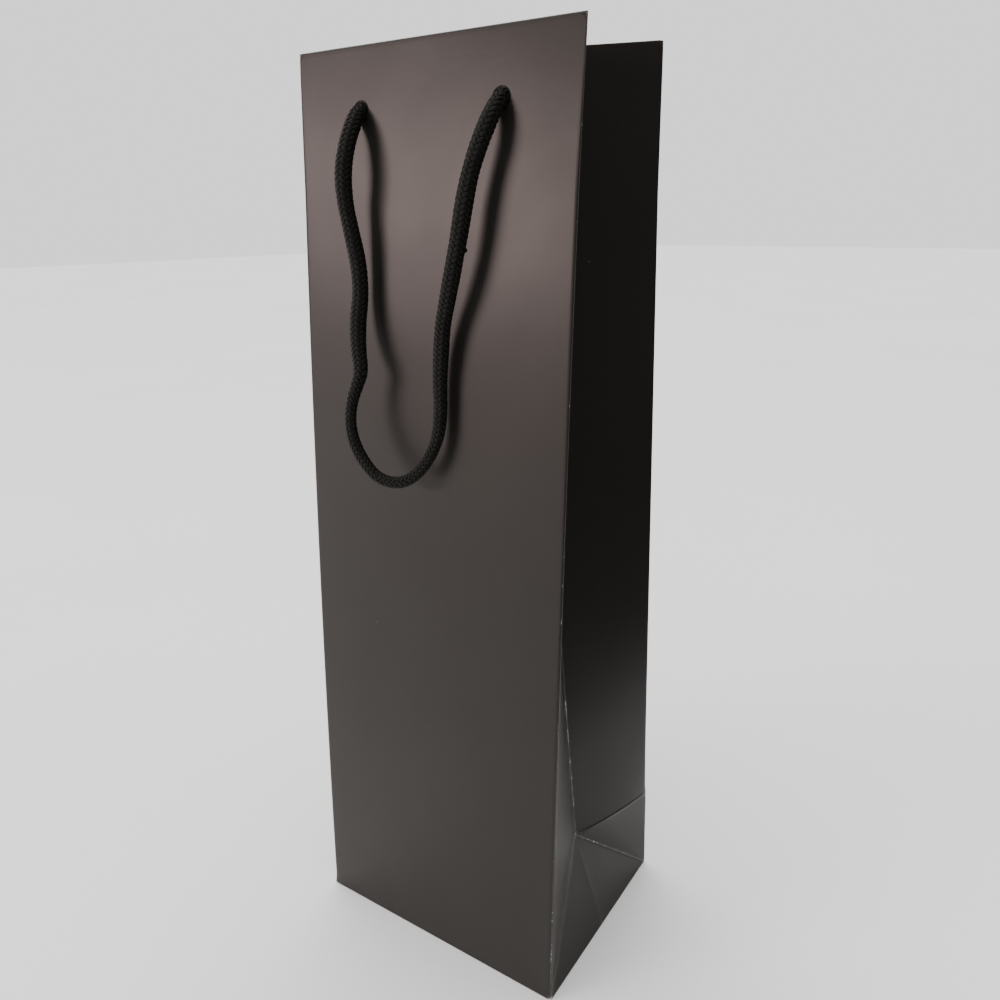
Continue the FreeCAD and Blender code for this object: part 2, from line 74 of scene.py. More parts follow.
# ---------------------------------------------------------------- materials
def material(name):
    m = bpy.data.materials.new(name)
    m.use_nodes = True
    nt = m.node_tree
    nt.nodes.clear()
    out = nt.nodes.new("ShaderNodeOutputMaterial")
    bsdf = nt.nodes.new("ShaderNodeBsdfPrincipled")
    nt.links.new(bsdf.outputs[0], out.inputs[0])
    return m, nt, bsdf


def node(nt, kind, **values):
    n = nt.nodes.new(kind)
    for key, value in values.items():
        if key in n.inputs:
            n.inputs[key].default_value = value
        else:
            setattr(n, key, value)
    return n


def ramp(nt, source, stops):
    n = nt.nodes.new("ShaderNodeValToRGB")
    els = n.color_ramp.elements
    while len(els) > 1:
        els.remove(els[-1])
    els[0].position, els[0].color = stops[0][0], stops[0][1]
    for pos, col in stops[1:]:
        e = els.new(pos)
        e.color = col
    nt.links.new(source, n.inputs[0])
    return n


def grey(v, a=1.0):
    return (v, v, v, a)


def mix(nt, fac, a, b):
    n = nt.nodes.new("ShaderNodeMix")
    n.data_type = "RGBA"
    for sock, val in ((n.inputs[0], fac), (n.inputs[6], a), (n.inputs[7], b)):
        if hasattr(val, "is_output"):
            nt.links.new(val, sock)
        else:
            sock.default_value = val
    return n.outputs[2]


def math_node(nt, op, a, b=None, clamp=False):
    n = nt.nodes.new("ShaderNodeMath")
    n.operation = op
    n.use_clamp = clamp
    for sock, val in ((n.inputs[0], a), (n.inputs[1], b)):
        if val is None:
            continue
        if hasattr(val, "is_output"):
            nt.links.new(val, sock)
        else:
            sock.default_value = val
    return n.outputs[0]


def coords(nt, scale=(1, 1, 1)):
    tc = nt.nodes.new("ShaderNodeTexCoord")
    mp = nt.nodes.new("ShaderNodeMapping")
    mp.inputs["Scale"].default_value = scale
    nt.links.new(tc.outputs["Object"], mp.inputs["Vector"])
    return mp.outputs[0]


def noise_tex(nt, vec, scale, detail=3.0, rough=0.55, distortion=0.0):
    n = nt.nodes.new("ShaderNodeTexNoise")
    n.inputs["Scale"].default_value = scale
    n.inputs["Detail"].default_value = detail
    n.inputs["Roughness"].default_value = rough
    n.inputs["Distortion"].default_value = distortion
    nt.links.new(vec, n.inputs["Vector"])
    return n.outputs[0]


def bump(nt, bsdf, height, strength, distance, after=None):
    n = nt.nodes.new("ShaderNodeBump")
    n.inputs["Strength"].default_value = strength
    n.inputs["Distance"].default_value = distance
    nt.links.new(height, n.inputs["Height"])
    if after is not None:
        nt.links.new(after, n.inputs["Normal"])
    nt.links.new(n.outputs[0], bsdf.inputs["Normal"])
    return n.outputs[0]


def laminate():
    """Matt-laminated black paper: soft sheen, faint smudges, white core where creases have worn."""
    m, nt, b = material("black_laminate")
    vec = coords(nt)
    smudge = noise_tex(nt, vec, 11.0, 4.0, 0.6, 0.5)
    fine = noise_tex(nt, vec, 900.0, 2.0, 0.5)
    base = ramp(nt, smudge, [(0.25, (0.0105, 0.0093, 0.0082, 1)), (0.75, (0.0145, 0.0129, 0.0114, 1))])
    at = node(nt, "ShaderNodeAttribute", attribute_name="crease")
    # a burnished, slightly paler line along every fold
    line = ramp(nt, at.outputs["Fac"], [(0.05, grey(0)), (0.70, grey(0.75))])
    col = mix(nt, line.outputs[0], base.outputs[0], (0.130, 0.124, 0.112, 1))
    # beads of bare white core where the film has cracked
    beads = math_node(nt, "ADD", math_node(nt, "MULTIPLY", math_node(nt, "SUBTRACT", noise_tex(nt, vec, 1150.0, 3.0, 0.65, 0.2), 0.5), 1.3),
                      math_node(nt, "MULTIPLY", math_node(nt, "SUBTRACT", noise_tex(nt, vec, 170.0, 2.0, 0.5), 0.5), 1.0))
    t = math_node(nt, "ADD", at.outputs["Fac"], beads)
    worn = ramp(nt, t, [(0.52, grey(0)), (0.68, grey(1))])
    col = mix(nt, worn.outputs[0], col, (0.60, 0.58, 0.54, 1))
    # a few fine pale fibres of lint
    dust = ramp(nt, noise_tex(nt, vec, 330.0, 1.0, 0.3), [(0.835, grey(0)), (0.86, grey(0.35))])
    col = mix(nt, dust.outputs[0], col, (0.10, 0.096, 0.09, 1))
    nt.links.new(col, b.inputs["Base Color"])
    rough = ramp(nt, noise_tex(nt, vec, 16.0, 5.0, 0.6, 0.3), [(0.3, grey(0.335)), (0.7, grey(0.385))])
    nt.links.new(mix(nt, worn.outputs[0], rough.outputs[0], grey(0.85)), b.inputs["Roughness"])
    # the pressed groove beside a sharp fold catches no light
    groove = node(nt, "ShaderNodeAttribute", attribute_name="groove")
    nt.links.new(ramp(nt, groove.outputs["Fac"], [(0.0, grey(0.27)), (0.8, grey(0.03))]).outputs[0], b.inputs["Specular IOR Level"])
    b.inputs["Specular Tint"].default_value = (1.0, 0.925, 0.875, 1)
    n1 = bump(nt, b, fine, 0.10, 0.00010)
    bump(nt, b, noise_tex(nt, vec, 70.0, 3.0, 0.5), 0.10, 0.0004, n1)
    return m


def inside_paper():
    """Uncoated white inner face of the sheet."""
    m, nt, b = material("white_inside")
    vec = coords(nt)
    fib = noise_tex(nt, vec, 420.0, 5.0, 0.65)
    cloud = noise_tex(nt, vec, 18.0, 3.0, 0.5)
    c1 = ramp(nt, fib, [(0.3, (0.70, 0.69, 0.66, 1)), (0.7, (0.80, 0.79, 0.765, 1))])
    col = mix(nt, ramp(nt, cloud, [(0.35, grey(0.0)), (0.7, grey(0.35))]).outputs[0], c1.outputs[0], (0.66, 0.645, 0.61, 1))
    nt.links.new(col, b.inputs["Base Color"])
    nt.links.new(ramp(nt, fib, [(0.3, grey(0.82)), (0.7, grey(0.93))]).outputs[0], b.inputs["Roughness"])
    b.inputs["Specular IOR Level"].default_value = 0.3
    bump(nt, b, fib, 0.25, 0.0002)
    return m


def cut_core():
    """Cut edge of the sheet: white paper core between the printed faces."""
    m, nt, b = material("cut_core")
    vec = coords(nt)
    fib = noise_tex(nt, vec, 1500.0, 3.0, 0.6)
    nt.links.new(ramp(nt, fib, [(0.3, (0.42, 0.39, 0.35, 1)), (0.7, (0.66, 0.63, 0.58, 1))]).outputs[0], b.inputs["Base Color"])
    nt.links.new(ramp(nt, fib, [(0.2, grey(0.8)), (0.8, grey(0.95))]).outputs[0], b.inputs["Roughness"])
    bump(nt, b, fib, 0.3, 0.0002)
    return m


def greyboard():
    m, nt, b = material("greyboard")
    vec = coords(nt)
    fib = noise_tex(nt, vec, 700.0, 5.0, 0.7)
    speck = noise_tex(nt, vec, 240.0, 2.0, 0.5)
    c1 = ramp(nt, fib, [(0.25, (0.30, 0.285, 0.26, 1)), (0.75, (0.46, 0.44, 0.405, 1))])
    col = mix(nt, ramp(nt, speck, [(0.68, grey(0)), (0.74, grey(0.7))]).outputs[0], c1.outputs[0], (0.16, 0.15, 0.14, 1))
    nt.links.new(col, b.inputs["Base Color"])
    nt.links.new(ramp(nt, fib, [(0.3, grey(0.85)), (0.7, grey(0.95))]).outputs[0], b.inputs["Roughness"])
    bump(nt, b, fib, 0.3, 0.0003)
    return m


def lined_board():
    m, nt, b = material("lined_board")
    vec = coords(nt)
    fib = noise_tex(nt, vec, 520.0, 5.0, 0.65)
    cloud = noise_tex(nt, vec, 30.0, 3.0, 0.5)
    c1 = ramp(nt, fib, [(0.3, (0.60, 0.59, 0.56, 1)), (0.7, (0.72, 0.71, 0.68, 1))])
    col = mix(nt, ramp(nt, cloud, [(0.4, grey(0)), (0.7, grey(0.4))]).outputs[0], c1.outputs[0], (0.55, 0.53, 0.49, 1))
    nt.links.new(col, b.inputs["Base Color"])
    nt.links.new(ramp(nt, cloud, [(0.3, grey(0.72)), (0.7, grey(0.86))]).outputs[0], b.inputs["Roughness"])
    bump(nt, b, fib, 0.25, 0.0003)
    return m


def rope_yarn():
    """Black braided polypropylene: fine filaments along each strand, soft sheen, lint."""
    m, nt, b = material("rope_yarn")
    uv = nt.nodes.new("ShaderNodeUVMap")
    uv.uv_map = "yarn"
    mp = nt.nodes.new("ShaderNodeMapping")
    mp.inputs["Scale"].default_value = (60.0, 9.0, 1.0)
    nt.links.new(uv.outputs[0], mp.inputs["Vector"])
    fil = noise_tex(nt, mp.outputs[0], 1.0, 3.0, 0.6, 0.15)
    vec = coords(nt)
    lint = noise_tex(nt, vec, 700.0, 2.0, 0.5)
    tone = noise_tex(nt, vec, 160.0, 2.0, 0.5)
    c1 = ramp(nt, fil, [(0.28, (0.0022, 0.0020, 0.0016, 1)), (0.72, (0.0088, 0.0080, 0.0064, 1))])
    c2 = mix(nt, ramp(nt, tone, [(0.35, grey(0)), (0.75, grey(0.5))]).outputs[0], c1.outputs[0], (0.0100, 0.0098, 0.0082, 1))
    col = mix(nt, ramp(nt, lint, [(0.74, grey(0)), (0.80, grey(0.4))]).outputs[0], c2, (0.045, 0.043, 0.038, 1))
    nt.links.new(col, b.inputs["Base Color"])
    nt.links.new(ramp(nt, fil, [(0.3, grey(0.56)), (0.7, grey(0.74))]).outputs[0], b.inputs["Roughness"])
    b.inputs["Specular IOR Level"].default_value = 0.17
    b.inputs["Sheen Weight"].default_value = 0.035
    b.inputs["Sheen Roughness"].default_value = 0.45
    b.inputs["Sheen Tint"].default_value = (0.84, 0.80, 0.70, 1)
    bump(nt, b, fil, 0.55, 0.00025)
    return m


LAM, WHITE, CORE = laminate(), inside_paper(), cut_core()
CARD, BOARD, YARN = greyboard(), lined_board(), rope_yarn()

# ------------------------------------------------------------------- ropes
HX, HZ = 30.0, 338.0
FRONT_FACE, BACK_FACE = -25.721, 31.356

front_points = [
    (-30.0, -24.7, 338.0), (-30.0, -27.2, 337.5),
    (-29.1, -31.5, 332.6), (-29.4, -34.9, 325.8), (-29.9, -37.1, 316.7), (-30.2, -36.5, 306.6),
    (-28.4, -36.0, 296.3), (-26.8, -35.4, 286.2), (-26.4, -35.6, 275.9), (-26.8, -37.9, 265.8),
    (-25.3, -40.2, 255.9), (-22.4, -42.4, 248.6), (-23.4, -43.5, 244.6), (-26.1, -45.4, 236.0), (-25.2, -47.3, 226.4),
    (-20.3, -48.0, 217.3), (-12.2, -47.6, 209.9), (-2.7, -44.6, 209.3), (4.7, -41.1, 216.5),
    (8.7, -38.5, 225.9), (9.5, -37.0, 236.0), (9.3, -36.7, 246.3), (10.2, -36.6, 256.5),
    (11.9, -37.2, 266.7), (15.1, -37.8, 276.4), (17.9, -37.9, 286.2), (20.2, -37.2, 296.3),
    (21.8, -36.2, 306.4), (24.1, -35.3, 316.2), (27.5, -34.0, 325.4), (29.5, -31.3, 332.2),
    (30.0, -27.2, 337.5), (30.0, -24.7, 338.0),
]
back_points = [
    (-30.0, 30.4, 338.0), (-30.0, 33.2, 337.5),
    (-30.4, 36.7, 331.4), (-31.1, 38.9, 323.4), (-30.2, 41.3, 311.5), (-27.4, 41.3, 296.0),
    (-25.8, 40.6, 279.0), (-26.2, 40.4, 262.0), (-27.2, 41.6, 246.6), (-26.4, 43.9, 234.4),
    (-22.9, 46.3, 224.0), (-16.6, 48.5, 215.6), (-8.0, 49.7, 210.8), (1.2, 49.6, 209.6),
    (9.8, 48.2, 212.4), (16.8, 45.8, 219.0), (21.0, 43.0, 228.4), (22.4, 40.5, 240.4),
    (21.9, 39.2, 255.4), (22.6, 39.5, 272.5), (25.4, 40.6, 289.5), (28.3, 40.9, 306.0),
    (30.0, 39.9, 317.6), (30.6, 38.9, 325.0), (30.4, 36.6, 331.8),
    (30.0, 33.2, 337.5), (30.0, 30.4, 338.0),
]


def spline_points(points, name, resolution=24):
    """Points of the smooth NURBS line through a route's control points, in metres."""
    cu = bpy.data.curves.new(name, "CURVE")
    cu.dimensions = "3D"
    cu.resolution_u = resolution
    sp = cu.splines.new("NURBS")
    sp.points.add(len(points) - 1)
    for p, q in zip(sp.points, points):
        p.co = (q[0] * MM, q[1] * MM, q[2] * MM, 1.0)
    sp.order_u = 3
    sp.use_endpoint_u = True
    ob = bpy.data.objects.new(name, cu)
    scene.collection.objects.link(ob)
    bpy.context.view_layer.update()
    me = bpy.data.meshes.new_from_object(ob)
    pts = [v.co.copy() for v in me.vertices]
    bpy.data.objects.remove(ob)
    bpy.data.meshes.remove(me)
    clean = [pts[0]]
    for p in pts[1:]:
        if (p - clean[-1]).length > 1e-6:
            clean.append(p)
    return clean


def frames_along(pts):
    n = len(pts)
    tang = []
    for i in range(n):
        a, b = pts[max(0, i - 1)], pts[min(n - 1, i + 1)]
        tang.append((b - a).normalized())
    ref = Vector((0, 0, 1)) if abs(tang[0].z) < 0.9 else Vector((1, 0, 0))
    nrm = (ref - tang[0] * ref.dot(tang[0])).normalized()
    out = []
    for i in range(n):
        if i:
            q = tang[i - 1].rotation_difference(tang[i])
            nrm = (q @ nrm)
            nrm = (nrm - tang[i] * nrm.dot(tang[i])).normalized()
        out.append((tang[i], nrm, tang[i].cross(nrm)))
    return out


def braid(name, pts, radius, thick_at=None, carriers=8, sides=6, twist=0.42, seed=0.0, snags=()):
    """Solid two-over two-under braid of round yarns over a core, along a line in metres."""
    fr = frames_along(pts)
    run = [0.0]
    for a, b in zip(pts, pts[1:]):
        run.append(run[-1] + (b - a).length)
    total = run[-1]
    scale = [1.0 if thick_at is None else thick_at(s / total) for s in run]
    mid, wave, half_t, half_w = 0.735 * radius, 0.115 * radius, 0.170 * radius, 0.262 * radius
    k = twist / MM
    verts, faces, uvs = [], [], []

    def ring_face(base_a, base_b, count, u0, u1):
        for j in range(count):
            j2 = (j + 1) % count
            faces.append((base_a + j, base_a + j2, base_b + j2, base_b + j))
            v0, v1 = j / count, (j + 1) / count
            uvs.append(((v0, u0), (v1, u0), (v1, u1), (v0, u1)))

    for hand in (1, -1):
        for i in range(carriers):
            centres = []
            for m, s in enumerate(run):
                n_cross = s * 2 * carriers * k / (2 * math.pi) * 1.0
                if hand > 0:
                    off = math.cos(math.pi / 2 * (2 * i + n_cross) - math.pi / 4)
                else:
                    off = -math.cos(math.pi / 2 * (2 * i - n_cross) - math.pi / 4)
                off = max(-1.0, min(1.0, 1.35 * off))
                th = 2 * math.pi * i / carriers + hand * k * s
                t, nn, bb = fr[m]
                jit = 1.0 + 0.02 * noise.noise(Vector((s * 900.0, i * 3.1 + seed, hand * 5.0)))
                rad = (mid + wave * off) * scale[m] * jit
                rdir = nn * math.cos(th) + bb * math.sin(th)
                centres.append((pts[m] + rdir * rad, rdir))
            prev = None
            for m, (c, rdir) in enumerate(centres):
                a = centres[max(0, m - 1)][0]
                b = centres[min(len(centres) - 1, m + 1)][0]
                d = (b - a).normalized()
                side = d.cross(rdir).normalized()
                rad_dir = side.cross(d).normalized()
                base = len(verts)
                for j in range(sides):
                    an = 2 * math.pi * j / sides
                    verts.append(c + side * (half_w * math.cos(an) * scale[m]) + rad_dir * (half_t * math.sin(an) * scale[m]))
                if prev is not None:
                    ring_face(prev, base, sides, run[m - 1] / MM * 0.12 + i * 1.7, run[m] / MM * 0.12 + i * 1.7)
                else:
                    faces.append(tuple(base + j for j in range(sides))[::-1])
                    uvs.append(tuple((0.5, i * 1.7) for _ in range(sides)))
                prev = base
            faces.append(tuple(prev + j for j in range(sides)))
            uvs.append(tuple((0.5, i * 1.7) for _ in range(sides)))
    # core
    prev = None
    cs = 12
    for m in range(len(pts)):
        t, nn, bb = fr[m]
        base = len(verts)
        for j in range(cs):
            an = 2 * math.pi * j / cs
            verts.append(pts[m] + (nn * math.cos(an) + bb * math.sin(an)) * (0.70 * radius * scale[m]))
        if prev is not None:
            ring_face(prev, base, cs, run[m - 1] / MM * 0.12, run[m] / MM * 0.12)
        else:
            faces.append(tuple(base + j for j in range(cs))[::-1])
            uvs.append(tuple((0.5, 0.0) for _ in range(cs)))
        prev = base
    faces.append(tuple(prev + j for j in range(cs)))
    uvs.append(tuple((0.5, 0.0) for _ in range(cs)))
    for f, way, size in snags:
        m = min(range(len(run)), key=lambda j: abs(run[j] / total - f))
        t, nn, bb = fr[m]
        out = (Vector(way) - t * t.dot(Vector(way))).normalized()
        root = pts[m] + out * (radius * scale[m] * 0.82)
        prev = None
        for j in range(9):
            a = math.pi * (j / 8 * 1.25 - 0.1)
            c = root - t * (size * (0.5 - 0.5 * math.cos(a))) * 1.3 + out * (size * math.sin(a))
            d = (out * math.cos(a) - t * (math.sin(a) * 0.65)).normalized()
            e1 = d.cross(out.cross(t)).normalized()
            e2 = d.cross(e1)
            base = len(verts)
            rr = 0.00055 * (1.0 - 0.35 * j / 8)
            for q in range(5):
                an = 2 * math.pi * q / 5
                verts.append(c + e1 * (rr * math.cos(an)) + e2 * (rr * math.sin(an)))
            if prev is not None:
                ring_face(prev, base, 5, j * 0.3, j * 0.3 + 0.3)
            else:
                faces.append(tuple(base + q for q in range(5))[::-1])
                uvs.append(tuple((0.5, 0.0) for _ in range(5)))
            prev = base
        faces.append(tuple(prev + q for q in range(5)))
        uvs.append(tuple((0.5, 0.0) for _ in range(5)))
    ob = new_object(name, verts, faces, 1.0)
    layer = ob.data.uv_layers.new(name="yarn")
    flat = [c for f in uvs for uv in f for c in uv]
    layer.data.foreach_set("uv", flat)
    ob.data.polygons.foreach_set("use_smooth", [True] * len(ob.data.polygons))
    ob.data.materials.append(YARN)
    bm = bmesh.new()
    bm.from_mesh(ob.data)
    bmesh.ops.recalc_face_normals(bm, faces=bm.faces)
    bm.to_mesh(ob.data)
    bm.free()
    return ob, total


def front_girth(f):
    # fuller where it hangs from the holes, drawn thinner round the turned end of the loop
    thin = 1.0 / (1.0 + math.exp(-(f - 0.335) / 0.012)) * 1.0 / (1.0 + math.exp((f - 0.66) / 0.045))
    ends = math.exp(-(f / 0.022) ** 2) + math.exp(-((1 - f) / 0.022) ** 2)
    return 1.08 - 0.28 * thin - 0.13 * ends + 0.02 * math.sin(31 * f) + 0.02 * math.sin(73 * f + 1.0)


def back_girth(f):
    return 1.0 + 0.02 * math.sin(27 * f + 0.6) + 0.015 * math.sin(61 * f)


R_ROPE = 2.75 * MM
front_line = spline_points(front_points, "front_line")
back_line = spline_points(back_points, "back_line")
front_rope, front_len = braid("front_rope_handle", front_line, R_ROPE, front_girth, seed=1.0,
                              snags=((0.825, (0.85, 0.53, 0.0), 0.0008),))
back_rope, back_len = braid("back_rope_handle", back_line, R_ROPE, back_girth, seed=7.0)
print("rope lengths", front_len, back_len)


def knot_points(sx, face, sign):
    """Control points of a tight overhand knot behind its hole, with a hanging tail, in mm."""
    cx, cz = sx * HX, HZ
    y0 = face + sign * 1.0
    yk = face + sign * 8.6
    shape = [
        (0.0, 0.0, 0.0), (0.0, 0.45, 0.0), (0.4, 2.6, -0.3),
        (4.2, 3.6, 1.2), (5.0, 6.2, 4.6), (0.6, 8.8, 6.0), (-4.4, 9.6, 3.4),
        (-5.2, 7.0, -1.6), (-1.8, 4.4, -5.0), (3.6, 5.0, -4.4), (5.4, 8.4, -0.4),
        (2.4, 11.6, 2.2), (-2.2, 11.4, 0.4), (-2.6, 8.2, -3.6), (-0.6, 6.4, -8.0),
        (0.8, 6.2, -12.4), (1.6, 6.8, -16.2), (2.0, 7.6, -19.4),
    ]
    return [(cx + sx * a, y0 + sign * b * 0.98, cz + c) for a, b, c in shape]


for word, sx, face, sign in (("front_left", -1, FRONT_FACE, 1), ("front_right", 1, FRONT_FACE, 1),
                             ("back_left", -1, BACK_FACE, -1), ("back_right", 1, BACK_FACE, -1)):
    line = spline_points(knot_points(sx, face, sign), word + "_line", 10)
    ob, _ = braid(word + "_rope_knot", line, R_ROPE * 0.93, None, sides=5, seed=3.0 + sx + face)
    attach(ob, "bag")
    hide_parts(word + "_knot")

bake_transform(front_rope)
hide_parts("front_handle_cord")
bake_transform(back_rope)
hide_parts("back_handle_cord")

# ------------------------------------------------------------- paper sheet
# The bag is one sheet.  (u, v) are millimetres on the sheet before folding:
# u runs round the bag from the back panel's cut edge, v runs up from the base
# crease.  v below 0 is the base flaps, v from 360 to 363 is the turned-over
# rim and beyond that the hem that lies inside the mouth.
T = 0.3
W2, D2 = 60.0, 45.0
FT, BT = 359.387, 359.755
ARC_R = (21.0 ** 2 + FT ** 2) / (8 * 2.1) + 1.05
cl = math.hypot(21.0, FT)
cdir = (21.0 / cl, FT / cl)
ARC_Y = -D2 + cdir[0] * cl / 2 + cdir[1] * (ARC_R - 2.1)
ARC_Z = cdir[1] * cl / 2 - cdir[0] * (ARC_R - 2.1)
RIM0, RIM1, HEM1 = 360.0, 363.0, 400.0
CREASES_U = (0.0, 120.0, 165.0, 210.0, 330.0, 375.0, 420.0)


def front_y(z):
    return ARC_Y - math.sqrt(ARC_R ** 2 - (z - ARC_Z) ** 2)


def back_y(z):
    return 43.0 - (z - 42.0) * 12.5 / (BT - 42.0)


def front_edge(v):
    z = v * FT / 360.0
    return Vector((W2, front_y(z), z))


def back_edge(v):
    if v < 45.0:
        f = v / 45.0
        return Vector((W2, 45.0 - 2.0 * f, 42.0 * f))
    z = 42.0 + (v - 45.0) * (BT - 42.0) / 315.0
    return Vector((W2, back_y(z), z))


def centre_crease(v):
    lv = 42.46 + (v - 45.0) / 315.0 * (FT - 42.46)
    zb = 42.0 + (v - 45.0) * (BT - 42.0) / 315.0
    fy, by = front_y(lv), back_y(zb)
    p = math.sqrt(D2 ** 2 - ((by - fy) / 2) ** 2)
    near = math.exp(-(v - 45.0) / 30.0)
    p += (14.9 - 13.25) * near
    return Vector((W2 - p, (fy + by) / 2 * (1 - near), lv - 2.6 * (v - 45.0) / 315.0))


P0 = Vector((45.1, 0.0, 42.46))
E0 = Vector((60.0, -45.0, 0.0))
F0 = Vector((60.0, 45.0, 0.0))
G0 = Vector((60.0, 43.0, 42.0))


def gusset(s, v, left):
    """Point of the right gusset; s runs 0..90 from the back corner to the front corner."""
    if v >= 45.0:
        c = centre_crease(v)
        if s <= 45.0:
            b = back_edge(v)
            if left:
                b = b - Vector((0, T, 0))
            q = b.lerp(c, s / 45.0)
        else:
            q = c.lerp(front_edge(v), (s - 45.0) / 45.0)
        return q
    r = 90.0 - s
    if r <= v:
        d = E0.lerp(P0, v / 45.0)
        return front_edge(v).lerp(d, r / v) if v > 1e-9 else E0.copy()
    if s <= v:
        q = F0 + (G0 - F0) * ((v - s) / 45.0) + (P0 - F0) * (s / 45.0)
        return q
    m = (E0 + F0) * 0.5
    return F0 + (E0 - F0) * (s / 90.0) + (P0 - m) * (v / 45.0)


def wall(u, v):
    """Outer (black) face of the sheet for 0 <= v <= 360."""
    if u <= 120.0:
        b = back_edge(v)
        return Vector((-W2 + u, b.y, b.z))
    if u <= 210.0:
        return gusset(u - 120.0, v, False)
    if u <= 330.0:
        f = front_edge(v)
        return Vector((W2 - (u - 210.0), f.y, f.z))
    if u <= 420.0:
        q = gusset(420.0 - u, v, True)
        return Vector((-q.x, q.y, q.z))
    b = back_edge(v)
    return Vector((-W2 + (u - 420.0), b.y - T - 0.02, b.z))


def flap(u, v):
    """Base flaps, v < 0."""
    d = -v
    if u <= 120.0:
        y = D2 - d
        rise = 0.3 * min(1.0, max(0.0, (27.0 - y) / 10.0))
        return Vector((-W2 + u, y, rise))
    if u <= 210.0:
        rise = 0.6 * min(1.0, d / 3.0)
        return Vector((W2 - d, D2 - (u - 120.0), rise))
    if u <= 330.0:
        return Vector((W2 - (u - 210.0), -D2 + d, 0.0))
    rise = 0.6 * min(1.0, d / 3.0)
    return Vector((-W2 + d, -D2 + (u - 330.0), rise))


def panel_of(u):
    for i, (lo, hi) in enumerate(((0, 120), (120, 165), (165, 210), (210, 330), (330, 375), (375, 420))):
        if u <= hi:
            return i, lo, hi
    return 6, 420, 436


PANEL_W = {0: 1.5, 1: 0.66, 2: 0.66, 3: 1.5, 4: 0.66, 5: 0.66, 6: 0.66}


def rim_frame(u, panel=None):
    """Unit up direction and outward normal of a panel at the top edge."""
    i, lo, hi = panel_of(u) if panel is None else panel
    uu = min(max(u, lo + 0.01), hi - 0.01)
    t = (wall(uu, 360.0) - wall(uu, 322.0)).normalized()
    a = wall(min(uu + 1.0, hi - 0.005), 350.0)
    b = wall(max(uu - 1.0, lo + 0.005), 350.0)
    n = t.cross(a - b).normalized()
    return t, n


RIM_CACHE = {}


def rim_step(u):
    """Vector from the top outer edge to the hem's inner face."""
    key = round(u, 3)
    if key in RIM_CACHE:
        return RIM_CACHE[key]
    i, lo, hi = panel_of(u)
    t, n = rim_frame(u)
    d = n * -PANEL_W[i]
    reach = 6.0
    for edge, other in ((lo, (i - 1) % 6), (hi, (i + 1) % 6)):
        dist = abs(u - edge)
        if dist < reach:
            spans = ((0, 120), (120, 165), (165, 210), (210, 330), (330, 375), (375, 420))
            olo, ohi = spans[other]
            eu = edge
            ou = ohi if edge == lo else olo
            t1, n1 = rim_frame(eu, (i, lo, hi))
            t2, n2 = rim_frame(ou, (other, olo, ohi))
            tt = (t1 + t2).normalized()
            m = Matrix((n1, n2, tt))
            corner = m.inverted() @ Vector((-PANEL_W[i], -PANEL_W[other], 0.0))
            uin = edge + reach if edge == lo else edge - reach
            t6, n6 = rim_frame(uin)
            d6 = n6 * -PANEL_W[i]
            d = corner.lerp(d6, dist / reach)
            break
    RIM_CACHE[key] = (t, d)
    return RIM_CACHE[key]


def sheet_point(u, v, home):
    """Point of the folded sheet's black face; home is the u of the mesh point asking."""
    u = min(max(u, 0.0), 436.0)
    if home <= 420.0 and not (49.0 < v < 317.0):
        u = min(u, 420.0)
    if v < 0.0:
        lo, hi = ((0, 120), (120, 210), (210, 330), (330, 420))[0 if home < 120 else 1 if home < 210 else 2 if home < 330 else 3]
        return flap(min(max(u, lo + 0.001), hi - 0.001), v)
    if v <= RIM0:
        return wall(u, v)
    u = min(u, 420.0)
    t, d = rim_step(u)
    r = 0.5 * PANEL_W[panel_of(u)[0]]
    top = wall(u, RIM0) - t * r
    if v < RIM1:
        f = math.pi * (v - RIM0) / (RIM1 - RIM0)
        return top + d * ((1 - math.cos(f)) / 2) + t * (r * math.sin(f))
    return top + d - t * (v - RIM1)


KERNEL = [(0.0, 0.0)]
for rad, cnt in ((0.30, 6), (0.55, 8)):
    for j in range(cnt):
        KERNEL.append((rad * math.cos(2 * math.pi * j / cnt + 0.2), rad * math.sin(2 * math.pi * j / cnt + 0.2)))


# crease lines: (u0, v0, u1, v1, wear)
LINES = [
    (120, 0, 120, 45, 0.56), (120, 45, 120, 360, 0.26), (165, 45, 165, 360, 1.0), (210, 0, 210, 360, 0.36),
    (330, 0, 330, 360, 0.36), (375, 45, 375, 360, 0.8), (420, 0, 420, 400, 0.0),
    (0, 45, 120, 45, 0.34), (120, 45, 165, 45, 0.34), (375, 45, 420, 45, 0.34),
    (120, 0, 165, 45, 0.44), (210, 0, 165, 45, 0.04), (330, 0, 375, 45, 0.04), (420, 0, 375, 45, 0.60),
    (0, 0, 120, 0, 0.30), (120, 0, 210, 0, 0.30), (210, 0, 330, 0, 0.28), (330, 0, 420, 0, 0.30),
    (165, 0, 165, 45, 0.12), (375, 0, 375, 45, 0.12),
    (120, 360, 120, 400, 0.2), (165, 360, 165, 400, 0.2), (210, 360, 210, 400, 0.2),
    (330, 360, 330, 400, 0.2), (375, 360, 375, 400, 0.2),
]
# where the film has cracked along the gusset's middle fold, from the base fold upward (v0, v1, how much)
CRACKS = ((48.0, 50.5, 0.60), (59.5, 63.5, 0.56), (68.2, 70.4, 0.76), (72.4, 75.0, 0.80), (79.6, 82.0, 0.74), (92.0, 98.0, 0.68),
          (102.5, 111.5, 0.66), (150.0, 171.0, 0.42), (214.0, 226.0, 0.45), (303.0, 330.0, 0.45))
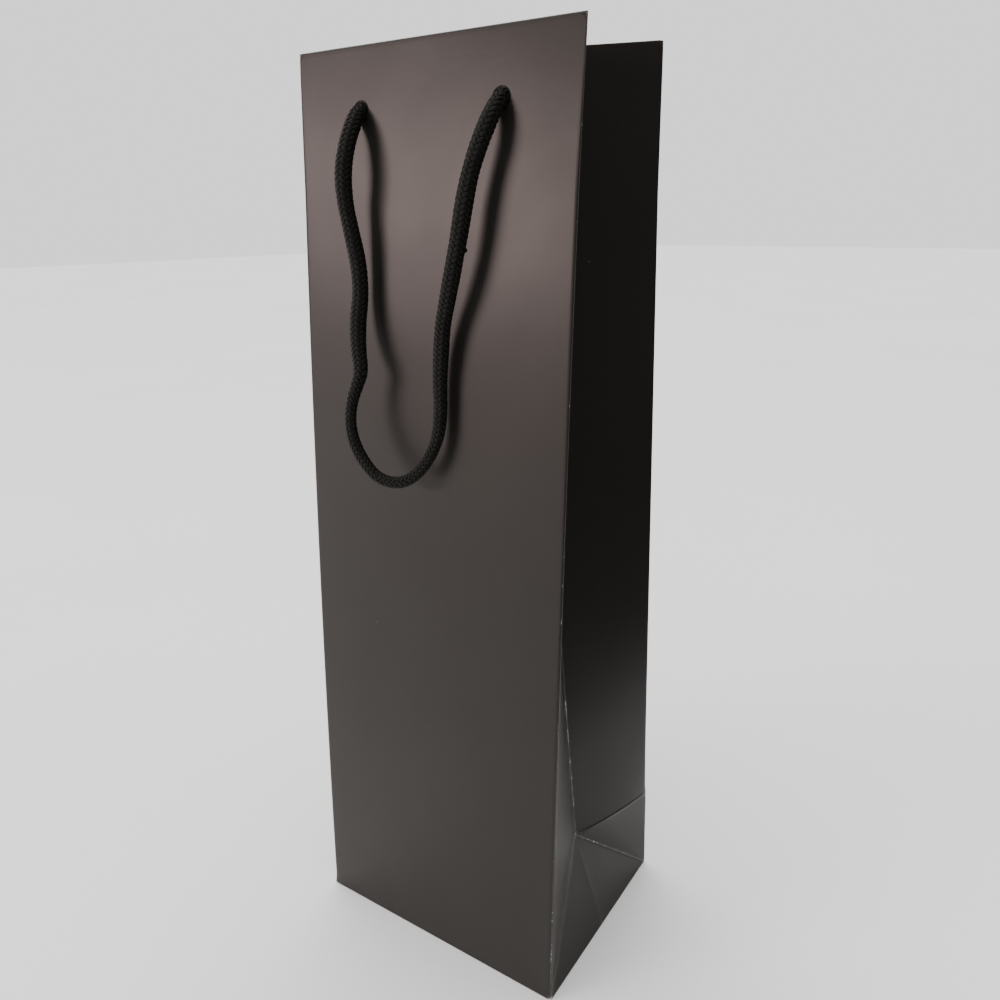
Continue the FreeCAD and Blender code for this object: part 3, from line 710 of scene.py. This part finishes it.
# rubbed corners: (u, v, radius, how much)
SPOTS = ((165, 45, 0.9, 0.9), (120, 45, 1.0, 0.8), (210, 0, 1.6, 1.0), (120, 0, 0.9, 0.6), (330, 0, 1.2, 0.8),
         (375, 45, 0.9, 0.8), (0, 45, 0.9, 0.6), (0, 0, 1.0, 0.7), (210, 360, 0.9, 0.45), (330, 360, 1.0, 0.5),
         (120, 360, 0.9, 0.5), (0, 360, 0.9, 0.5))


def wear_at(u, v):
    c = 0.0
    for i, ln in enumerate(LINES):
        if ln[4] <= 0:
            continue
        d = line_distance(u, v, ln)
        if d < 1.6:
            w = ln[4]
            if ln[0] in (165, 375) and ln[1] == 45 and ln[3] == 360:
                w = 0.20
                for v0, v1, k in CRACKS:
                    if ln[0] == 375:
                        v0, v1 = v0 + 17.0, v1 + 14.0
                    edge = min(v - v0, v1 - v)
                    if edge > -1.2:
                        w = max(w, k * min(1.0, (edge + 1.2) / 1.6) * ln[4])
            if ln[0] == 210 and ln[2] == 210 and 10.0 < v < 34.0:
                w = 0.46
            c = max(c, w * math.exp(-(d / (0.52 if ln[0] in (165, 375) else 0.40)) ** 2))
    for su, sv, r, k in SPOTS:
        d = math.hypot(u - su, v - sv)
        if d < 3 * r:
            c = max(c, k * math.exp(-(d / r) ** 2))
    return c


def groove_at(u, v):
    """Pressed lines that look dark: just above the base fold and beside the diagonal."""
    g = 0.0
    for s in (u - 120.0, 420.0 - u):
        if 1.0 < s < 44.0:
            g = max(g, math.exp(-((v - 45.75) / 0.36) ** 2))
            g = max(g, 0.55 * math.exp(-(((s - v) / 1.414 - 0.75) / 0.34) ** 2))
    if 2.0 < u < 118.0:
        g = max(g, 0.8 * math.exp(-((v - 45.75) / 0.36) ** 2))
    return g


def ridge_at(u, v):
    """How far the paper stands out along folds that were once creased flat, in mm."""
    out = 0.0
    for s in (u - 120.0, 420.0 - u):
        if 0.0 < s < 45.0:
            win = math.sin(math.pi * s / 45.0) ** 0.6
            if 45.0 <= v < 85.0:
                out += 1.8 * win * (1 - (v - 45.0) / 40.0) ** 2
            elif s < v < 45.0:
                out += 1.8 * win * ((v - s) / (45.0 - s)) ** 1.5
    for s in (u - 120.0, 420.0 - u):
        d = abs(s - 45.0)
        if d < 7.0 and 0.0 < v < 43.0 and v < 45.0 - d:
            out += 0.20 * math.exp(-d / 2.4) * math.sin(math.pi * v / 43.0)
    if 0.0 < u < 120.0:
        win = min(1.0, u / 14.0, (120.0 - u) / 14.0)
        if 45.0 <= v < 80.0:
            out += 0.6 * win * (1 - (v - 45.0) / 35.0) ** 2
        elif 15.0 < v < 45.0:
            out += 0.6 * win * ((v - 15.0) / 30.0) ** 2
    return out


def line_distance(u, v, ln):
    u0, v0, u1, v1, _ = ln
    du, dv = u1 - u0, v1 - v0
    f = ((u - u0) * du + (v - v0) * dv) / (du * du + dv * dv)
    f = min(1.0, max(0.0, f))
    return math.hypot(u - u0 - f * du, v - v0 - f * dv)


def hem_hole_v(panel_u):
    lo, hi = RIM1, HEM1
    for _ in range(40):
        mid = (lo + hi) / 2
        if sheet_point(panel_u, mid, panel_u).z > HZ:
            lo = mid
        else:
            hi = mid
    return lo


HOLES = []
for hu in (30.0, 90.0, 240.0, 300.0):
    lo, hi = 300.0, 358.0
    for _ in range(40):
        mid = (lo + hi) / 2
        if wall(hu, mid).z < HZ:
            lo = mid
        else:
            hi = mid
    HOLES.append((hu, lo))
    HOLES.append((hu, hem_hole_v(hu)))
HOLE_R = 3.05


def build_sheet():
    pts, edges, seen = [], [], {}
    cell = 0.16

    def add(u, v, force=False):
        key = (round(u / cell), round(v / cell))
        for i in (-1, 0, 1):
            for j in (-1, 0, 1):
                k = seen.get((key[0] + i, key[1] + j))
                if k is not None and math.hypot(pts[k][0] - u, pts[k][1] - v) < cell:
                    return k
        pts.append(Vector((u, v)))
        seen[key] = len(pts) - 1
        return len(pts) - 1

    def chain(path, step, closed=False):
        ids = []
        n = len(path)
        for a in range(n if closed else n - 1):
            p, q = path[a], path[(a + 1) % n]
            length = math.hypot(q[0] - p[0], q[1] - p[1])
            k = max(1, int(round(length / step)))
            for j in range(k):
                ids.append(add(p[0] + (q[0] - p[0]) * j / k, p[1] + (q[1] - p[1]) * j / k))
        ids.append(ids[0] if closed else add(*path[-1]))
        for a, b in zip(ids, ids[1:]):
            if a != b:
                edges.append((a, b))

    outline = [
        (0, 0), (0.7, 0), (57.0, -56.3), (63.0, -56.3), (119.3, 0), (120, 0), (120.8, 0), (122, -55.6), (208, -55.6),
        (209.2, 0), (210, 0), (210.7, 0), (267.0, -56.3), (273.0, -56.3), (329.3, 0), (330, 0), (330.8, 0), (332, -55.6),
        (418, -55.6), (419.2, 0), (420, 0), (420, 48), (436, 54), (436, 312), (420, 318), (420, RIM0), (420, RIM1),
        (420, HEM1), (0, HEM1), (0, RIM1), (0, RIM0),
    ]
    chain(outline, 4.0, closed=True)
    for hu, hv in HOLES:
        for rr, cnt in ((HOLE_R, 28), (HOLE_R + 0.8, 28)):
            chain([(hu + rr * math.cos(2 * math.pi * j / cnt), hv + rr * math.sin(2 * math.pi * j / cnt)) for j in range(cnt)], 9.0, closed=True)

    def inside_domain(u, v):
        if v > HEM1 or u < 0 or u > 436:
            return False
        if u > 420:
            return 48 + (u - 420) * 6 / 16 <= v <= 318 - (u - 420) * 6 / 16
        if v >= 0:
            return True
        d = -v
        if u <= 120:
            return d <= 56.3 and 0.7 + d <= u <= 119.3 - d
        if u <= 210:
            return d <= 55.6 and 120.8 <= u <= 209.2
        if u <= 330:
            return d <= 56.3 and 210.7 + d <= u <= 329.3 - d
        return d <= 55.6 and 330.8 <= u <= 419.2

    def near_hole(u, v, r):
        return any(math.hypot(u - a, v - b) < r for a, b in HOLES)

    # creases with two rows of points on each side
    for ln in LINES:
        u0, v0, u1, v1, _ = ln
        length = math.hypot(u1 - u0, v1 - v0)
        nu, nv = -(v1 - v0) / length, (u1 - u0) / length
        for off in (0.0, 0.3, -0.3, 0.75, -0.75, 1.2, -1.2, 2.1, -2.1, 3.4, -3.4):
            a = (u0 + nu * off, v0 + nv * off)
            b = (u1 + nu * off, v1 + nv * off)
            k = max(1, int(round(length / 2.6)))
            last = None
            for j in range(k + 1):
                f = j / k
                u, v = a[0] + (b[0] - a[0]) * f, a[1] + (b[1] - a[1]) * f
                if not inside_domain(u, v):
                    last = None
                    continue
                i = add(u, v)
                if last is not None and last != i and off in (0.0, 0.3, -0.3):
                    edges.append((last, i))
                last = i
    # the turned rim and the edge of the hem
    for v in (359.2, RIM0, RIM0 + 0.6, RIM0 + 1.2, RIM0 + 1.8, RIM0 + 2.4, RIM1, RIM1 + 1.2, HEM1 - 0.4):
        last = None
        n = 140
        for j in range(n + 1):
            i = add(420.0 * j / n, v)
            if last is not None and last != i:
                edges.append((last, i))
            last = i
    # open paper between the creases
    step = 5.0
    for a in range(int(436 / step) + 1):
        for b in range(-12, 82):
            u = a * step + (step / 2 if b % 2 else 0.0)
            v = b * step * 0.98
            if not inside_domain(u, v) or 359.0 < v < 364.5 or near_hole(u, v, 5.4):
                continue
            if min(line_distance(u, v, ln) for ln in LINES) < 4.6:
                continue
            add(u, v)
    verts, _, tris, _, _, _ = geometry.delaunay_2d_cdt(pts, edges, [], 0, 1e-4)
    keep = []
    for f in tris:
        cu = sum(verts[i][0] for i in f) / len(f)
        cv = sum(verts[i][1] for i in f) / len(f)
        if inside_domain(cu, cv) and not near_hole(cu, cv, HOLE_R * 0.985):
            a, b, c = (verts[i] for i in f[:3])
            if abs((b[0] - a[0]) * (c[1] - a[1]) - (b[1] - a[1]) * (c[0] - a[0])) > 1e-7:
                keep.append(f)
    used = sorted({i for f in keep for i in f})
    remap = {o: n for n, o in enumerate(used)}
    uv = [(verts[i][0], verts[i][1]) for i in used]
    tris = [tuple(remap[i] for i in f) for f in keep]

    outer = []
    crease = []
    groove = []
    soft = [(ln, 3.2, 2.6) for ln in LINES if ln[4] == 0.04]
    soft += [(ln, 2.6, 1.9) for ln in LINES if ln[0] == ln[2] and ln[0] in (120, 210, 330) and ln[3] == 360]
    soft += [((0, 0, 0, 360, 0.0), 2.0, 1.9)]
    for u, v in uv:
        acc = Vector((0, 0, 0))
        wide = 1.0
        for ln, amount, reach in soft:
            ds = line_distance(u, v, ln)
            if ds < 2 * reach and 0.0 <= v < 356.0:
                other = min(line_distance(u, v, o) for o in LINES if o is not ln and (o[0], o[2]) != (ln[0], ln[2]))
                wide = max(wide, 1.0 + amount * math.exp(-(ds / reach) ** 2) * min(1.0, other / (8.0 if amount > 3 else 3.0), (356.0 - v) / 45.0))
        flat_zone = wide < 1.05 and min(line_distance(u, v, ln) for ln in LINES) > 0.8 and abs(v - 361.5) > 3.0
        if flat_zone:
            acc = sheet_point(u, v, u)
        else:
            for a, b in KERNEL:
                vv = min(v + b, HEM1) if v > RIM1 else v + b * wide
                acc += sheet_point(u + a * wide, vv, u)
            acc /= len(KERNEL)
        outer.append(acc)
        c = wear_at(u, v)
        if RIM0 <= v <= RIM1:
            c = max(c, 0.30 * math.sin(math.pi * (v - RIM0) / (RIM1 - RIM0)))
        crease.append(c)
        groove.append(groove_at(u, v))

    # outward normals
    normals = [Vector((0, 0, 0)) for _ in outer]
    for f in tris:
        a, b, c = (outer[i] for i in f)
        n = (c - a).cross(b - a)
        for i in f:
            normals[i] += n
    normals = [n.normalized() if n.length > 0 else Vector((0, 0, 1)) for n in normals]

    # the paper is not quite flat: slow swells that die away at folds and edges
    shaped = []
    for (u, v), q, n in zip(uv, outer, normals):
        if v < 0 or v > 359.0 or u > 420:
            shaped.append(q)
            continue
        near = min([line_distance(u, v, ln) for ln in LINES if ln[4] > 0] + [360.0 - v + 2.0])
        fall = 1.0 - math.exp(-(near / 11.0) ** 2)
        amp = 0.30 if (u <= 120 or 210 <= u <= 330) else 0.42
        h = noise.noise(Vector((u * 0.021 + 3.7, v * 0.011, 0.4))) + 0.35 * noise.noise(Vector((u * 0.05, v * 0.028 + 9.0, 2.2)))
        shaped.append(q + n * (amp * h * fall + ridge_at(u, v)))
    outer = shaped
    inner = [q - n * T for q, n in zip(outer, normals)]

    count = len(outer)
    verts3 = outer + inner
    faces, mats = [], []
    border = {}
    for f in tris:
        a, b, c = f
        faces.append((a, c, b))
        mats.append(0)
        faces.append((a + count, b + count, c + count))
        mats.append(1)
        for e in ((a, c), (c, b), (b, a)):
            if (e[1], e[0]) in border:
                del border[(e[1], e[0])]
            else:
                border[e] = True
    for a, b in border:
        faces.append((b, a, a + count, b + count))
        # painted shade: the cut edges round the punched holes take the black laminate instead of the white core, so
        # the holes read as dark
        mats.append(0 if near_hole(uv[a][0], uv[a][1], 3.6) else 2)
    ob = new_object("paper_sheet", verts3, faces)
    me = ob.data
    for m in (LAM, WHITE, CORE):
        me.materials.append(m)
    me.polygons.foreach_set("material_index", mats)
    me.polygons.foreach_set("use_smooth", [m != 2 for m in mats])
    at = me.attributes.new("crease", "FLOAT", "POINT")
    at.data.foreach_set("value", crease + crease)
    at = me.attributes.new("groove", "FLOAT", "POINT")
    at.data.foreach_set("value", groove + groove)
    bm = bmesh.new()
    bm.from_mesh(me)
    for e in bm.edges:
        if len(e.link_faces) == 2 and e.link_faces[0].material_index != e.link_faces[1].material_index:
            e.smooth = False
    bm.to_mesh(me)
    bm.free()
    me.update()
    print("sheet:", count, "points,", len(tris), "triangles")
    return ob


sheet = build_sheet()
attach(sheet, "bag")
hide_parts("front_panel", "back_panel", "back_foot",
            "right_gusset_front", "right_gusset_back", "right_corner_fold", "right_base_gusset",
            "left_gusset_front", "left_gusset_back", "left_corner_fold", "left_base_gusset",
            "front_base_flap", "back_base_flap", "right_base_flap", "left_base_flap", "glue_lap",
            "front_hem", "back_hem", "right_hem_front", "right_hem_back", "left_hem_front", "left_hem_back")

for name, mat in (("front_card", CARD), ("back_card", CARD), ("base_board", BOARD)):
    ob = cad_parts[name]
    ob.data.materials.clear()
    ob.data.materials.append(mat)

# -------------------------------------------------------------- stage, light
# A white table that ends 0.22 m to the right of the bag, past the camera's view,
# so that the gusset's upper part mirrors the dark side of the room.
me = bpy.data.meshes.new("floor")
me.from_pydata([(-6, -2.5, -0.00008), (0.224, -2.5, -0.00008), (0.224, 9, -0.00008), (-6, 9, -0.00008)], [], [(0, 1, 2, 3)])
floor = bpy.data.objects.new("floor", me)
scene.collection.objects.link(floor)
fm, nt, b = material("floor_white")
nt.links.new(ramp(nt, noise_tex(nt, coords(nt), 3.0, 2.0, 0.5), [(0.3, grey(0.86)), (0.7, grey(0.89))]).outputs[0], b.inputs["Base Color"])
b.inputs["Roughness"].default_value = 0.9
b.inputs["Specular IOR Level"].default_value = 0.1
me.materials.append(fm)

world = bpy.data.worlds.new("world")
scene.world = world
world.use_nodes = True
wt = world.node_tree
wt.nodes.clear()
wo = wt.nodes.new("ShaderNodeOutputWorld")
bg = wt.nodes.new("ShaderNodeBackground")
tc = wt.nodes.new("ShaderNodeTexCoord")
dot = wt.nodes.new("ShaderNodeVectorMath")
dot.operation = "DOT_PRODUCT"
dot.inputs[1].default_value = (-0.53, 0.845, 0.05)
wt.links.new(tc.outputs["Generated"], dot.inputs[0])
lobe = ramp(wt, dot.outputs["Value"], [(0.30, grey(0)), (0.66, grey(1))])
dim = wt.nodes.new("ShaderNodeVectorMath")
dim.operation = "DOT_PRODUCT"
dim.inputs[1].default_value = (0.835, 0.300, -0.461)
wt.links.new(tc.outputs["Generated"], dim.inputs[0])
room = ramp(wt, dim.outputs["Value"], [(0.72, (0.34, 0.335, 0.325, 1)), (0.93, (0.130, 0.123, 0.112, 1))])
wt.links.new(mix(wt, lobe.outputs[0], room.outputs[0], (1.32, 1.32, 1.32, 1)), bg.inputs["Color"])
bg.inputs["Strength"].default_value = 1.0
wt.links.new(bg.outputs[0], wo.inputs[0])


def area(name, loc, target, size, power, color=(1, 1, 1), size_y=None):
    ld = bpy.data.lights.new(name, "AREA")
    ld.energy = power
    ld.size = size
    if size_y:
        ld.shape = "RECTANGLE"
        ld.size_y = size_y
    ld.color = color
    ob = bpy.data.objects.new(name, ld)
    scene.collection.objects.link(ob)
    ob.location = loc
    ob.rotation_euler = (Vector(target) - Vector(loc)).to_track_quat("-Z", "Y").to_euler()
    return ob


key_dir = Vector((-math.sin(math.radians(36.5)), -math.cos(math.radians(36.5)), 0.152))
area("key", Vector((0, -0.03, 0.30)) + key_dir * 2.5, (0, -0.03, 0.30), 1.00, 37.4, (1.0, 0.835, 0.83), 0.42)
sun = bpy.data.lights.new("overhead", "SUN")
sun.energy = 4.0
sun.angle = math.radians(100)
sun_ob = bpy.data.objects.new("overhead", sun)
scene.collection.objects.link(sun_ob)
sun_ob.rotation_euler = (math.radians(-4), math.radians(-16), 0)
